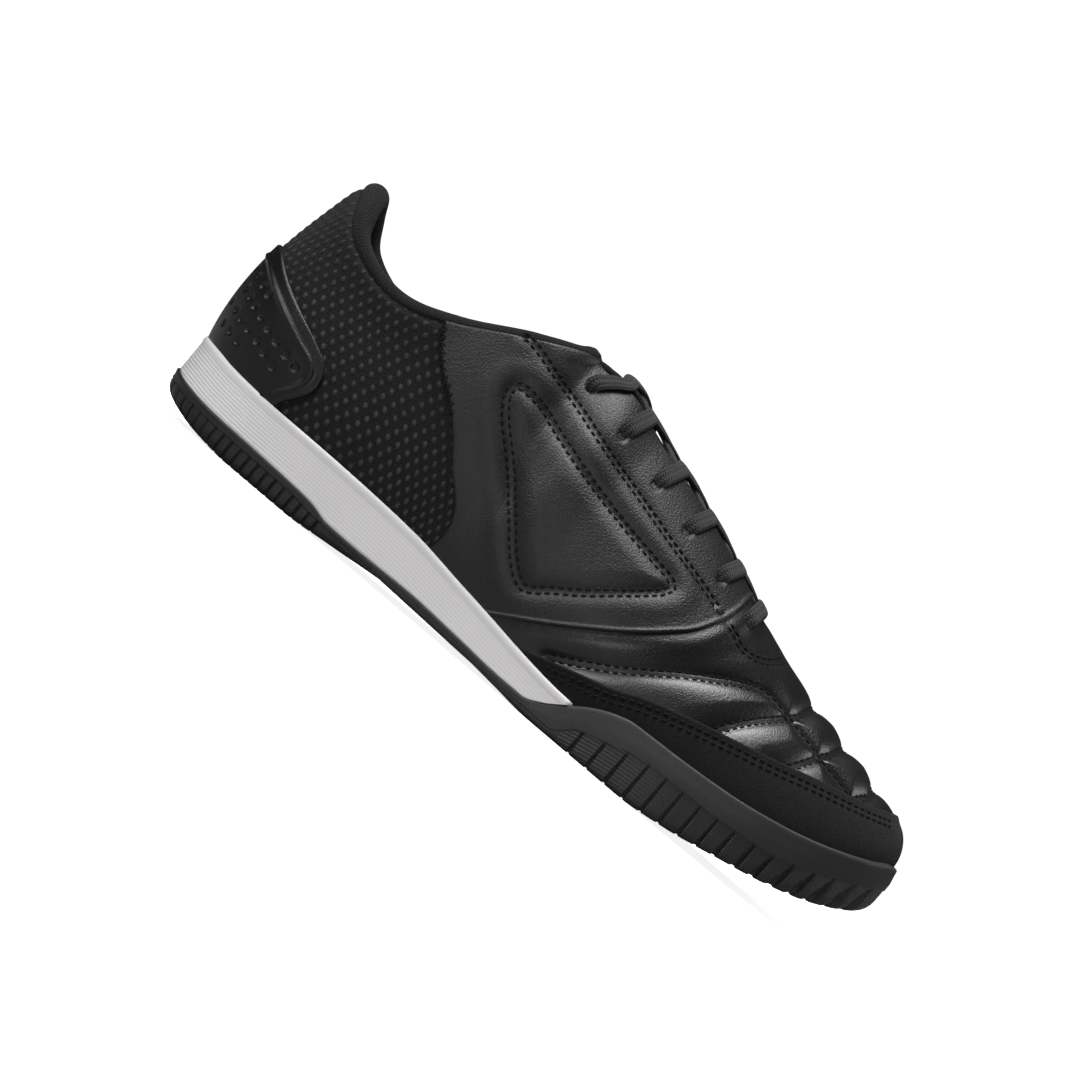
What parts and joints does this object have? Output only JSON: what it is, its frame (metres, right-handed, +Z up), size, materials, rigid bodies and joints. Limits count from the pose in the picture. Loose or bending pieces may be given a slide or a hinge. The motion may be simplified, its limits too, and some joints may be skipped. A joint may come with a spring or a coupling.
{
  "type": "indoor soccer shoe",
  "caption": "Low-cut lace-up indoor soccer shoe for the right foot: leather upper with suede toe band, moulded heel counter, foam midsole and flat ribbed rubber outsole.",
  "frame": {"origin": "on the floor, under the middle of the shoe's length and width", "axes": "+X from heel to toe, +Z up, so that the outer side of this right shoe is at -Y"},
  "size_m": [0.289, 0.1016, 0.1092],
  "materials": {
    "outsole": "matt ribbed rubber",
    "midsole": "white moulded foam with fine level lines",
    "insole": "black textile over foam",
    "upper": "satin black leather vamp with black mesh textile at the heel",
    "quarter": "satin black leather with double stitching",
    "toe": "matt black suede",
    "counter": "moulded black plastic with dimples",
    "lining": "charcoal knit",
    "lace": "flat braided charcoal cord"
  },
  "bodies": {
    "root": {"outsole": "outsole", "midsole": "midsole", "insole": "insole", "upper": "upper", "toe_overlay": "toe", "heel_counter": "counter", "quarter_outer": "quarter", "quarter_inner": "quarter", "collar_lining": "lining", "tongue": "lining", "lace_cross_1": "lace", "lace_cross_2": "lace", "lace_cross_3": "lace", "lace_cross_4": "lace", "lace_cross_5": "lace", "lace_bar": "lace"}
  },
  "joints": []
}
